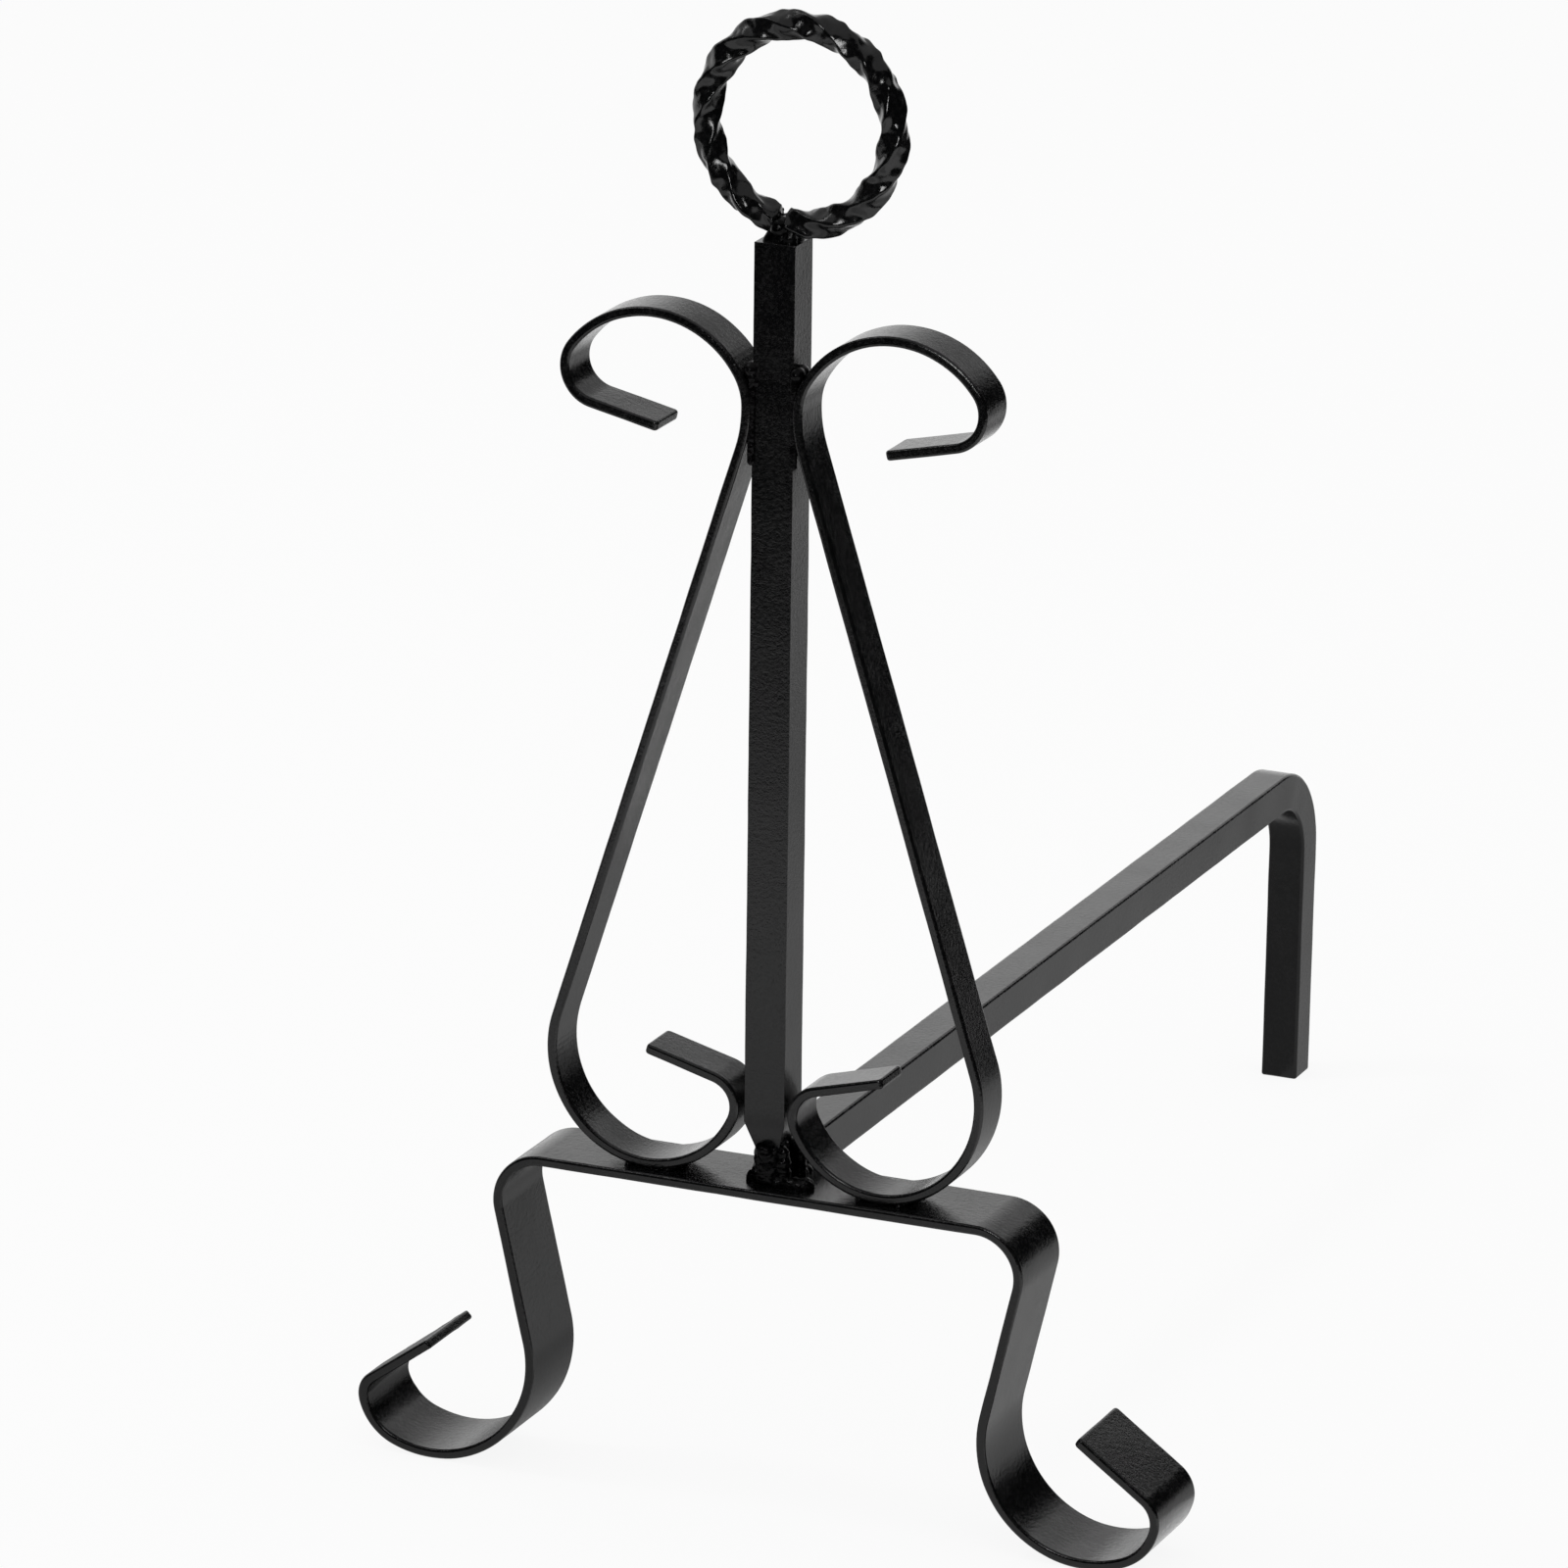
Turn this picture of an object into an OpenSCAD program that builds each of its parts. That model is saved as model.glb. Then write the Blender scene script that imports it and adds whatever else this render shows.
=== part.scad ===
// Andiron of black painted steel bar: a square upright with a twisted ring on top, a pair of
// flat-bar scrolls back to back against it, an arched flat bar rolled into two front feet, and a
// square log bar that bends down into the rear leg. Weld beads join the bars.
// The face looks towards -Y and the log bar runs towards +Y. The origin is on the floor, under
// the middle of the whole andiron.

/* [Upright] */
// Side of the upright's square bar
upright_w = 16.5; // [12:0.5:20]
// Height of the upright's top above the floor
upright_top = 492; // [440:1:560]
// Length of the drawn-in lower end of the upright
upright_point_h = 24; // [10:1:30]
// Width of the upright's drawn-in lower end where it meets the foot strap
upright_toe_w = 2; // [1:0.5:10]

/* [Ring] */
// Side of the square bar that is twisted for the ring
ring_bar_w = 10; // [8:0.5:12]
// Chamfer along the edges of the twisted bar
ring_bar_chamfer = 0.8; // [0.3:0.1:1.5]
// Radius of the ring at the middle of its bar
ring_r = 37; // [30:0.5:48]
// Distance of the ring's centre to the right of the upright's axis
ring_shift = 6; // [0:0.5:7]
// Turns of right-hand twist in one full circle of the ring
ring_turns = 3.3; // [2:0.1:6]
// Gap between the two cut ends of the ring, as an angle at its centre
ring_gap_angle = 5; // [2:0.5:10]
// Turn of the twisted bar's square section at its first cut end
ring_phase = 46.5; // [0:0.5:89]
// Height of the twisted bar's middle over the upright's top, as a share of its side
ring_seat = 0.65; // [0.5:0.01:0.7]

/* [Scrolls] */
// Width of the scrolls' flat bar
scroll_w = 20; // [14:0.5:26]
// Thickness of the scrolls' flat bar
scroll_t = 4; // [3:0.25:6]
// Height above the floor at which the scrolls touch the upright
waist_z = 429; // [390:1:450]
// Radius of the bend that leads up and away from the upright
neck_r = 24; // [18:1:36]
// Angle of the bend that leads up and away from the upright
neck_angle = 31; // [20:1:40]
// Radius of the top curl's large bend
top_curl_r = 40.5; // [34:0.5:46]
// Angle of the top curl's large bend
top_curl_angle = 111.5; // [95:0.5:120]
// Radius of the top curl's tight bend
top_eye_r = 13.5; // [10:0.5:17]
// Angle of the top curl's tight bend
top_eye_angle = 115; // [90:1:125]
// Length of the straight tip that ends the top curl
top_tip = 28; // [15:1:34]
// Radius of the bend that leads down and away from the upright
hip_r = 52.5; // [40:0.5:70]
// Angle by which the side of the scroll spreads from the vertical
spread_angle = 17.5; // [15:0.5:20]
// Radius of the bend that turns the side of the scroll in under itself
heel_r = 41.4; // [36:0.2:48]
// Angle of that bend
heel_angle = 82; // [75:0.5:90]
// Radius of the bend that rolls on down to the foot strap
roll_r = 37; // [30:0.5:44]
// Angle by which the bottom curl rises from the foot strap
base_rise_angle = 65.5; // [60:0.5:80]
// Radius of the bottom curl's tight bend
base_eye_r = 11.5; // [9:0.5:15]
// Angle of the bottom curl's tight bend
base_eye_angle = 99.6; // [80:0.2:110]
// Length of the straight tip that ends the bottom curl
base_tip = 28.8; // [15:0.2:32]
// Gap between the bottom curl and the upright
curl_gap = 1.6; // [0.4:0.1:4]

/* [Foot strap] */
// Width of the foot strap's flat bar
foot_w = 38; // [30:1:50]
// Thickness of the foot strap's flat bar
foot_t = 4; // [3:0.25:6]
// Height of the foot strap's top above the floor
foot_top = 129; // [120:1:145]
// Distance of the foot strap's middle behind the upright's axis
foot_back = 3; // [0:0.5:5]
// Distance from the upright's axis to the outside bend of the foot strap
foot_span = 106.2; // [98:0.2:120]
// Radius of the bend from the strap down into the leg
ankle_r = 17.6; // [14:0.2:24]
// Angle of the bend from the strap down into the leg
ankle_angle = 103; // [95:0.5:108]
// Radius of the foot's roll on the floor
sole_r = 41.7; // [36:0.1:46]
// Angle of the foot's roll on the floor
sole_angle = 124.5; // [110:0.5:135]
// Radius of the bend up to the toe
toe_r = 21.2; // [17:0.2:26]
// Angle of the bend up to the toe
toe_angle = 53; // [40:1:60]
// Radius of the bend that rolls the toe in
toe_eye_r = 11.3; // [9:0.1:15]
// Angle of the bend that rolls the toe in
toe_eye_angle = 70; // [50:1:80]
// Length of the straight tip that ends the foot
toe_tip = 33.3; // [20:0.1:38]

/* [Log bar] */
// Side of the log bar's square bar
log_w = 16; // [12:0.5:20]
// Length of the log bar's straight run behind the upright
log_run = 511; // [300:1:700]
// Radius of the bend from the log bar into the rear leg
rear_bend_r = 32; // [24:1:45]
// Angle of the bend from the log bar into the rear leg
rear_bend_angle = 91; // [88:0.5:94]

/* [Welds] */
// Radius of the weld bead at the scrolls' waist
waist_bead_r = 3.2; // [2:0.1:4]
// Length of the weld bead down the front corner of the upright, from the notch
waist_bead_h = 33; // [20:1:40]
// Radius of the weld bead where the scrolls stand on the strap
stand_bead_r = 1.8; // [1.2:0.1:3]
// Distance between the two beads under each scroll
stand_bead_gap = 16; // [10:0.5:20]
// Radius of the weld mound at the upright's foot, on the strap
mound_r = 8.5; // [7:0.5:16]
// Radius of the weld mound at its top, round the drawn-in end
mound_top_r = 4.5; // [3:0.5:8]
// Height of the weld mound at the upright's foot
mound_h = 9; // [6:0.5:16]
// Radius of the weld bead beside the log bar
log_bead_r = 2.8; // [2:0.1:3.5]
// Height that the ring's weld climbs beside the ring
ring_weld_h = 7; // [4:0.5:10]

/* [Hidden] */
$fn = 96;

ring_steps = 120;                 // sections along the twisted bar
bend_step = 4;                    // degrees between the stations of a bend
past = 1;                         // how far a cutting block runs past what it cuts
weld_fn = 24;                     // faces round a weld bead
weld_sink = 0.6;                  // how far a bead's middle lies inside the bar it is laid on
notch_gap = 2.2;                  // gap above the waist that the waist bead fills
corner_bead_r = 2.2;              // bead down the upright's front corner, beside the scroll
bead_inset = 2;                   // how far a bead stops short of the bar's edge
neck_edge_r = 2.5;                // rounding of the ring's weld
neck_inset = 1;                   // distance of the ring's weld from the upright's edge
neck_lean = 1.5;                  // shift of the ring's weld to the right, towards the ring
log_bevel = log_bead_r + weld_sink; // bevel of the log bar's top edge, which the bead fills

// Stations front to back, measured from the upright's axis
strap_front = foot_back - foot_w / 2;
strap_rear = foot_back + foot_w / 2;
leg_rear = upright_w / 2 + log_run + rear_bend_r + log_w / 2;
axis_y = -(strap_front + leg_rear) / 2;

// Heights: the log bar's underside is level with the strap's, and the ring sits on the upright
foot_bottom = foot_top - foot_t;
log_z = foot_bottom + log_w / 2;
log_top = foot_bottom + log_w;
ring_z = upright_top + ring_seat * ring_bar_w + ring_r;

// The cut ends of the ring meet over the upright's axis, this far round from its lowest point
ring_seam = asin(min(1, ring_shift / ring_r));
ring_first = -90 - ring_seam + ring_gap_angle / 2;
ring_sweep = 360 - ring_gap_angle;

// Middle line of a scroll where it touches the upright
scroll_x = -(upright_w + scroll_t) / 2;

// The side run of a scroll is as long as it has to be for the scroll to stand on the strap
heel_start = -90 - spread_angle;
heel_end = heel_start + heel_angle;
hip_drop = hip_r * sin(spread_angle);
heel_drop = heel_r * (cos(heel_end) - cos(heel_start));
roll_drop = roll_r * (1 - cos(heel_end));
side_drop = waist_z - foot_top - scroll_t / 2 - hip_drop - heel_drop - roll_drop;
side_run = side_drop / cos(spread_angle);

// Where a scroll stands on the strap, measured from the upright's axis
hip_out = hip_r * (1 - cos(spread_angle));
side_out = side_run * sin(spread_angle);
heel_in = heel_r * (sin(heel_end) - sin(heel_start));
roll_in = -roll_r * sin(heel_end);
stand_x = scroll_x - hip_out - side_out + heel_in + roll_in;

// The bottom curl rises in a bend just wide enough to reach the upright, less its gap
eye_in = base_eye_r * (1 - sin(base_rise_angle));
base_rise_r = (scroll_x - curl_gap - stand_x - eye_in) / sin(base_rise_angle);

scroll_up = [
    ["bend", neck_r, neck_angle],
    ["bend", top_curl_r, top_curl_angle],
    ["bend", top_eye_r, top_eye_angle],
    ["run", top_tip]
];
scroll_down = [
    ["bend", hip_r, -spread_angle],
    ["run", side_run],
    ["bend", heel_r, heel_angle],
    ["bend", roll_r, -heel_end],
    ["bend", base_rise_r, base_rise_angle],
    ["bend", base_eye_r, base_eye_angle],
    ["run", base_tip]
];

// The leg of the foot strap is as long as it has to be for the foot to stand on the floor
ankle_over = ankle_angle - 90;
leg_run = (foot_bottom - (ankle_r + sole_r) * (1 + sin(ankle_over))) / cos(ankle_over);
foot_half = [
    ["run", foot_span - ankle_r],
    ["bend", ankle_r, ankle_angle],
    ["run", leg_run],
    ["bend", sole_r, -ankle_angle],
    ["bend", sole_r, ankle_angle - sole_angle],
    ["bend", toe_r, -toe_angle],
    ["bend", toe_eye_r, -toe_eye_angle],
    ["run", toe_tip]
];

log_path = [
    ["run", log_run],
    ["bend", rear_bend_r, -rear_bend_angle],
    ["run", log_z - rear_bend_r + past]
];

// Stations along the middle line of a bent bar, each [x, y, heading]. A run goes straight on.
// A bend turns left where its angle is positive, and right where it is negative.
function run_stations(start, length) = [
    [start[0] + length * cos(start[2]), start[1] + length * sin(start[2]), start[2]]
];

function bend_stations(start, radius, angle) =
    let (count = ceil(abs(angle) / bend_step), turn_r = radius * sign(angle))
    [
        for (step = [1 : count])
            let (heading = start[2] + angle * step / count)
            [
                start[0] + turn_r * (sin(heading) - sin(start[2])),
                start[1] + turn_r * (cos(start[2]) - cos(heading)),
                heading
            ]
    ];

function next_stations(start, stretch) =
    stretch[0] == "run" ? run_stations(start, stretch[1])
                        : bend_stations(start, stretch[1], stretch[2]);

function stations(path, stretches, first = 0) =
    first == len(stretches) ? path
    : stations(
        concat(path, next_stations(path[len(path) - 1], stretches[first])),
        stretches, first + 1
    );

// The line half a thickness to the left (side 1) or right (side -1) of the middle line
function edge_line(path, thick, side) = [
    for (station = path)
        [
            station[0] - side * thick / 2 * sin(station[2]),
            station[1] + side * thick / 2 * cos(station[2])
        ]
];

function reversed(points) = [for (i = [1 : len(points)]) points[len(points) - i]];

// The same stations walked the other way
function turned_back(path) = [
    for (station = reversed(path)) [station[0], station[1], station[2] + 180]
];

function without_first(path) = [for (i = [1 : len(path) - 1]) path[i]];

function mirrored(path) = [
    for (station = path) [-station[0], station[1], 180 - station[2]]
];

// A bar along a path of stations, with its width across the plane of its bends
module bent_bar(path, width, thick) {
    linear_extrude(width, center = true)
        polygon(concat(edge_line(path, thick, -1), reversed(edge_line(path, thick, 1))));
}

// A round-ended bead of weld from one point to another
module bead(from, to, r) {
    hull() {
        translate(from)
            sphere(r, $fn = weld_fn);
        translate(to)
            sphere(r, $fn = weld_fn);
    }
}

// Outline of the upright seen square on, with its drawn-in lower end
module upright_outline() {
    half = upright_w / 2;
    point_top = foot_top + upright_point_h;
    polygon([
        [-upright_toe_w / 2, foot_top],
        [upright_toe_w / 2, foot_top],
        [half, point_top],
        [half, upright_top],
        [-half, upright_top],
        [-half, point_top]
    ]);
}

module upright_bar() {
    intersection() {
        rotate([90, 0, 0])
            linear_extrude(upright_w, center = true)
                upright_outline();
        rotate([90, 0, 90])
            linear_extrude(upright_w, center = true)
                upright_outline();
    }
}

// One section of the twisted square bar: eight points, the square's corners being chamfered
function square_section(turn) = [
    for (side = [0 : 3], end = [-1, 1])
        let (
            half = ring_bar_w / 2,
            along = end * (half - ring_bar_chamfer),
            angle = turn + 90 * side
        )
        [half * cos(angle) - along * sin(angle), half * sin(angle) + along * cos(angle)]
];

// The section carried round the ring, turning clockwise as it goes, which is a right-hand twist
function ring_points() = [
    for (step = [0 : ring_steps])
        let (
            part = step / ring_steps,
            angle = ring_first + part * ring_sweep,
            turn = ring_phase - ring_turns * part * ring_sweep
        )
        for (point = square_section(turn))
            [(ring_r + point[0]) * cos(angle), -point[1], (ring_r + point[0]) * sin(angle)]
];

// Two triangles for each of the eight sides between one section and the next
function ring_faces() = [
    for (step = [0 : ring_steps - 1], corner = [0 : 7])
        let (
            a = 8 * step + corner,
            b = 8 * step + (corner + 1) % 8
        )
        each [[a, b, b + 8], [a, b + 8, a + 8]]
];

module ring_bar() {
    first_end = [for (corner = [0 : 7]) 7 - corner];
    last_end = [for (corner = [0 : 7]) 8 * ring_steps + corner];
    translate([ring_shift, 0, ring_z])
        polyhedron(ring_points(), concat([first_end, last_end], ring_faces()));
}

// The scroll runs from the tip of its bottom curl, past the waist, to the tip of its top curl
module left_scroll_bar() {
    down = stations([[scroll_x, waist_z, -90]], scroll_down);
    up = stations([[scroll_x, waist_z, 90]], scroll_up);
    rotate([90, 0, 0])
        bent_bar(concat(turned_back(down), without_first(up)), scroll_w, scroll_t);
}

// The foot strap runs from one toe to the other, and its two halves are mirror images
module foot_strap_bar() {
    half = stations([[0, foot_top - foot_t / 2, 180]], foot_half);
    translate([0, foot_back, 0])
        rotate([90, 0, 0])
            bent_bar(concat(turned_back(mirrored(half)), without_first(half)), foot_w, foot_t);
}

// The log bar is notched from below where it passes over the rear half of the foot strap, and
// its top edge is bevelled where the weld joins it to the upright
module log_bar_bar() {
    back = upright_w / 2;
    difference() {
        translate([0, back, log_z])
            rotate([90, 0, 90])
                bent_bar(stations([[0, 0, 0]], log_path), log_w, log_w);
        translate([-log_w, 0, foot_bottom - past])
            cube([2 * log_w, strap_rear, foot_t + past]);
        translate([-log_w, 0, -foot_top])
            cube([2 * log_w, leg_rear + log_w, foot_top]);
        translate([0, back, log_top])
            rotate([45, 0, 0])
                cube([2 * log_w, sqrt(2) * log_bevel, sqrt(2) * log_bevel], center = true);
    }
}

// Neck of weld between the top of the upright and the underside of the ring
module ring_weld_solid() {
    foot_reach = upright_w / 2 - neck_inset - neck_edge_r;
    top_reach = foot_reach - neck_lean;
    difference() {
        hull() {
            for (x = [neck_lean - foot_reach, foot_reach], y = [-foot_reach, foot_reach])
                translate([x, y, upright_top])
                    cylinder(h = past, r = neck_edge_r, $fn = weld_fn);
            for (x = [neck_lean - top_reach, foot_reach], y = [-neck_lean, neck_lean])
                translate([x, y, upright_top + ring_weld_h - neck_edge_r])
                    sphere(neck_edge_r, $fn = weld_fn);
        }
        ring_bar();
    }
}

// Bead in the notch above the waist, with a second bead down the front corner of the upright
module left_waist_bead() {
    notch_x = weld_sink - upright_w / 2;
    notch_y = upright_w / 2 - bead_inset;
    notch_z = waist_z + sqrt(pow(neck_r, 2) - pow(neck_r - notch_gap, 2));
    corner = [notch_x, notch_x, notch_z];
    difference() {
        union() {
            bead([notch_x, -notch_y, notch_z], [notch_x, notch_y, notch_z], waist_bead_r);
            difference() {
                bead(corner, corner - [0, 0, waist_bead_h], corner_bead_r);
                translate([-upright_w, -upright_w / 2, 0])
                    cube([2 * upright_w, upright_w, upright_top]);
            }
        }
        upright_bar();
        left_scroll_bar();
    }
}

// Weld mound round the drawn-in end of the upright
module upright_weld_solid() {
    difference() {
        translate([0, 0, foot_top])
            cylinder(h = mound_h, r1 = mound_r, r2 = mound_top_r, $fn = weld_fn);
        upright_bar();
        left_scroll_bar();
        mirror([1, 0, 0])
            left_scroll_bar();
        log_bar_bar();
        log_bar_bead();
    }
}

// Two beads under the bottom curl, one either side of the flat on which the scroll stands
module left_stand_bead() {
    reach = scroll_w / 2;
    difference() {
        for (x = [stand_x - stand_bead_gap / 2, stand_x + stand_bead_gap / 2])
            bead([x, -reach, foot_top], [x, reach, foot_top], stand_bead_r);
        left_scroll_bar();
        translate([stand_x - foot_span, strap_front - past, 0])
            cube([2 * foot_span, foot_w + 2 * past, foot_top]);
    }
}

// One bead along both sides of the log bar over the strap, up its front corners and over its top
module log_bar_bead() {
    side = log_w / 2;
    back = upright_w / 2;
    difference() {
        union() {
            for (x = [-side, side]) {
                bead([x, back, foot_top], [x, strap_rear - bead_inset, foot_top], log_bead_r);
                bead([x, back, foot_top], [x, back, log_top], log_bead_r);
            }
            bead([-side, back, log_top], [side, back, log_top], log_bead_r);
        }
        log_bar_bar();
        upright_bar();
        translate([-foot_span, strap_front, 0])
            cube([2 * foot_span, foot_w, foot_top]);
    }
}

// Shifts a piece from the upright's axis to the andiron's own origin
module placed() {
    translate([0, axis_y, 0])
        children();
}

module mirrored_placed() {
    placed()
        mirror([1, 0, 0])
            children();
}

module upright() {
    color("#26262a") placed() upright_bar();
}

module ring() {
    color("#2b2b2f") placed() ring_bar();
}

module ring_weld() {
    color("#1c1c1e") placed() ring_weld_solid();
}

module left_scroll() {
    color("#2a2a2e") placed() left_scroll_bar();
}

module right_scroll() {
    color("#2a2a2e") mirrored_placed() left_scroll_bar();
}

module left_waist_weld() {
    color("#1c1c1e") placed() left_waist_bead();
}

module right_waist_weld() {
    color("#1c1c1e") mirrored_placed() left_waist_bead();
}

module foot_strap() {
    color("#2e2e32") placed() foot_strap_bar();
}

module upright_weld() {
    color("#161618") placed() upright_weld_solid();
}

module left_stand_weld() {
    color("#1c1c1e") placed() left_stand_bead();
}

module right_stand_weld() {
    color("#1c1c1e") mirrored_placed() left_stand_bead();
}

module log_bar() {
    color("#2c2c30") placed() log_bar_bar();
}

module log_bar_weld() {
    color("#1c1c1e") placed() log_bar_bead();
}

upright();
ring();
ring_weld();
left_scroll();
right_scroll();
left_waist_weld();
right_waist_weld();
foot_strap();
upright_weld();
left_stand_weld();
right_stand_weld();
log_bar();
log_bar_weld();
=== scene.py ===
"""A black painted steel andiron: its bars, its welds, its paint and the studio it stands in."""
import math

import bmesh
import bpy
from bpy.props import FloatProperty, FloatVectorProperty, PointerProperty
from mathutils import Matrix, Vector


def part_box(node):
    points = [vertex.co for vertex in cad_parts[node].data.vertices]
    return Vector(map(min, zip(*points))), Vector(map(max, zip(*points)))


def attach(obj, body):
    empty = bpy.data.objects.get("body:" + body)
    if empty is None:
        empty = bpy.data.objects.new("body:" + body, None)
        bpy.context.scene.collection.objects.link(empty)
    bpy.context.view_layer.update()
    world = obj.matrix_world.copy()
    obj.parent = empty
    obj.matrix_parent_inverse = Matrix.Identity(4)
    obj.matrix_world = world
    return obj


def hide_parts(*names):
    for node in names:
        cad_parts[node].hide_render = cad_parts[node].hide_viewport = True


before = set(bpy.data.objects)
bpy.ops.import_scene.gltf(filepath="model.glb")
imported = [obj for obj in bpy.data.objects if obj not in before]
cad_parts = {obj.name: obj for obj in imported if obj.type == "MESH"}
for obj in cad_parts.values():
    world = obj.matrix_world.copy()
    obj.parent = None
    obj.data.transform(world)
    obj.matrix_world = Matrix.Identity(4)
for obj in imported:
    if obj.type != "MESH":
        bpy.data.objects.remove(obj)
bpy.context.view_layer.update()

bl_info = {
    "name": "Wrought andiron",
    "version": (1, 0, 0),
    "blender": (4, 5, 0),
    "location": "3D View > Sidebar > Andiron",
    "description": "Models and paints a wrought andiron, piece by piece, and lights it",
    "category": "Add Mesh",
}

MM = 0.001
BODY = "root"
X_AXIS = Vector((1, 0, 0))
Y_AXIS = Vector((0, 1, 0))
Z_AXIS = Vector((0, 0, 1))

# How finely a bar is drawn out: the length of a step in a run, and its angle in a bend
FLAT_STEP = 4 * MM
SQUARE_STEP = 6 * MM
FLAT_BEND = math.radians(3)
SQUARE_BEND = math.radians(4)
RING_STEPS = 180

# How close a point has to lie to the place where it is looked for, and how much of a face's
# normal has to point along an axis for the face to be square to it
CLOSE = 0.01 * MM
SQUARE_ON = 0.99

# Levels of a lump texture that leave the surface in its place. The waves mostly sink into a
# bar, so that it stays inside its CAD solid's box.
LUMP_LEVEL = 0.55
WAVE_LEVEL = 0.85

# Places that every piece shares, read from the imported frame
UPRIGHT_LOW, UPRIGHT_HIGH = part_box("upright")
AXIS_Y = (UPRIGHT_LOW.y + UPRIGHT_HIGH.y) / 2
FOOT_TOP = UPRIGHT_LOW.z
STRAP_LOW, STRAP_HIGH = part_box("foot_strap")
SCROLL_LOW, SCROLL_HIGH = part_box("left_scroll")
LOG_LOW, LOG_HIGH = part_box("log_bar")


def distance(label, description, value_mm):
    """A length that a user can change, given here in millimetres."""
    return FloatProperty(
        name=label, description=description, default=value_mm * MM,
        min=0.0, precision=5, subtype="DISTANCE", unit="LENGTH",
    )


def turn(label, description, degrees):
    """An angle that a user can change, given here in degrees."""
    return FloatProperty(
        name=label, description=description, default=math.radians(degrees),
        subtype="ANGLE", unit="ROTATION",
    )


def share(label, description, value, highest=1.0):
    """A plain number, such as a share or a strength."""
    return FloatProperty(
        name=label, description=description, default=value,
        min=0.0, max=highest, precision=4, subtype="FACTOR",
    )


def colour(label, description, value):
    """A colour in linear light."""
    return FloatVectorProperty(
        name=label, description=description, default=value, size=3,
        min=0.0, max=1.0, subtype="COLOR",
    )


class UprightSizes(bpy.types.PropertyGroup):
    """Sizes of the square upright."""
    side: distance("Side", "Side of the square bar", (UPRIGHT_HIGH.x - UPRIGHT_LOW.x) / MM)
    top: distance("Top", "Height of the bar's top above the floor", UPRIGHT_HIGH.z / MM)
    point_height: distance("Drawn-in height", "Length of the drawn-in lower end", 24)
    toe: distance("Toe", "Width of the drawn-in end on the foot strap", 2)


class RingSizes(bpy.types.PropertyGroup):
    """Sizes of the twisted ring."""
    bar: distance("Bar", "Side of the square bar that is twisted", 10.6)
    corner: distance("Corner", "Rounding of the twisted bar's corners", 1.6)
    hollow: share("Hollow", "Middle of a face as a share of its distance before twisting", 0.9)
    radius: distance("Radius", "Radius of the ring at the middle of its bar", 37)
    shift: distance("Shift", "Distance of the ring's centre to the right of the upright", 6)
    height: distance("Height", "Height of the ring's centre above the floor", 535.5)
    turns: FloatProperty(
        name="Turns", description="Turns of right-hand twist in a full circle", default=3.3,
        min=0.0,
    )
    gap: turn("Gap", "Angle between the two cut ends", 5)
    phase: turn("Phase", "Turn of the square section at the first cut end", 46.5)


class ScrollSizes(bpy.types.PropertyGroup):
    """Sizes of the two flat-bar scrolls, which are mirror images."""
    width: distance("Width", "Width of the flat bar", (SCROLL_HIGH.y - SCROLL_LOW.y) / MM)
    thickness: distance("Thickness", "Thickness of the flat bar", 4)
    waist: distance("Waist", "Height at which the scrolls touch the upright", 429)
    neck_radius: distance("Neck radius", "Bend that leads up and away from the upright", 24)
    neck_turn: turn("Neck turn", "Angle of that bend", 31)
    top_radius: distance("Top radius", "Large bend of the top curl", 40.5)
    top_turn: turn("Top turn", "Angle of that bend", 111.5)
    top_eye_radius: distance("Top eye radius", "Tight bend of the top curl", 13.5)
    top_eye_turn: turn("Top eye turn", "Angle of that bend", 115)
    top_tip: distance("Top tip", "Straight tip that ends the top curl", 28)
    hip_radius: distance("Hip radius", "Bend that leads down and away from the upright", 52.5)
    spread: turn("Spread", "Angle of the side run from the vertical", 17.5)
    heel_radius: distance("Heel radius", "Bend that turns the side run in", 41.4)
    heel_turn: turn("Heel turn", "Angle of that bend", 82)
    roll_radius: distance("Roll radius", "Bend that rolls on down to the strap", 37)
    rise_turn: turn("Rise turn", "Angle by which the bottom curl rises from the strap", 65.5)
    eye_radius: distance("Bottom eye radius", "Tight bend of the bottom curl", 11.5)
    eye_turn: turn("Bottom eye turn", "Angle of that bend", 99.6)
    bottom_tip: distance("Bottom tip", "Straight tip that ends the bottom curl", 28.8)
    curl_gap: distance("Curl gap", "Gap between the bottom curl and the upright", 1.6)


class FootSizes(bpy.types.PropertyGroup):
    """Sizes of the wide flat bar with its two rolled feet."""
    width: distance("Width", "Width of the flat bar", (STRAP_HIGH.y - STRAP_LOW.y) / MM)
    thickness: distance("Thickness", "Thickness of the flat bar", 4)
    span: distance("Span", "From the upright's axis to the outside bend", 106.2)
    ankle_radius: distance("Ankle radius", "Bend from the strap down into the leg", 17.6)
    ankle_turn: turn("Ankle turn", "Angle of that bend", 103)
    sole_radius: distance("Sole radius", "Roll of the foot on the floor", 41.7)
    sole_turn: turn("Sole turn", "Angle of that roll", 124.5)
    toe_radius: distance("Toe radius", "Bend up to the toe", 21.2)
    toe_turn: turn("Toe turn", "Angle of that bend", 53)
    toe_eye_radius: distance("Toe eye radius", "Bend that rolls the toe in", 11.3)
    toe_eye_turn: turn("Toe eye turn", "Angle of that bend", 70)
    left_eye_turn: turn("Left eye turn", "Angle of that bend on the left foot", 62.6)
    left_drop: distance("Left drop", "Drop of the left toe's back corner", 6.3)
    tip: distance("Tip", "Straight tip that ends the foot", 33.3)


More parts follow.
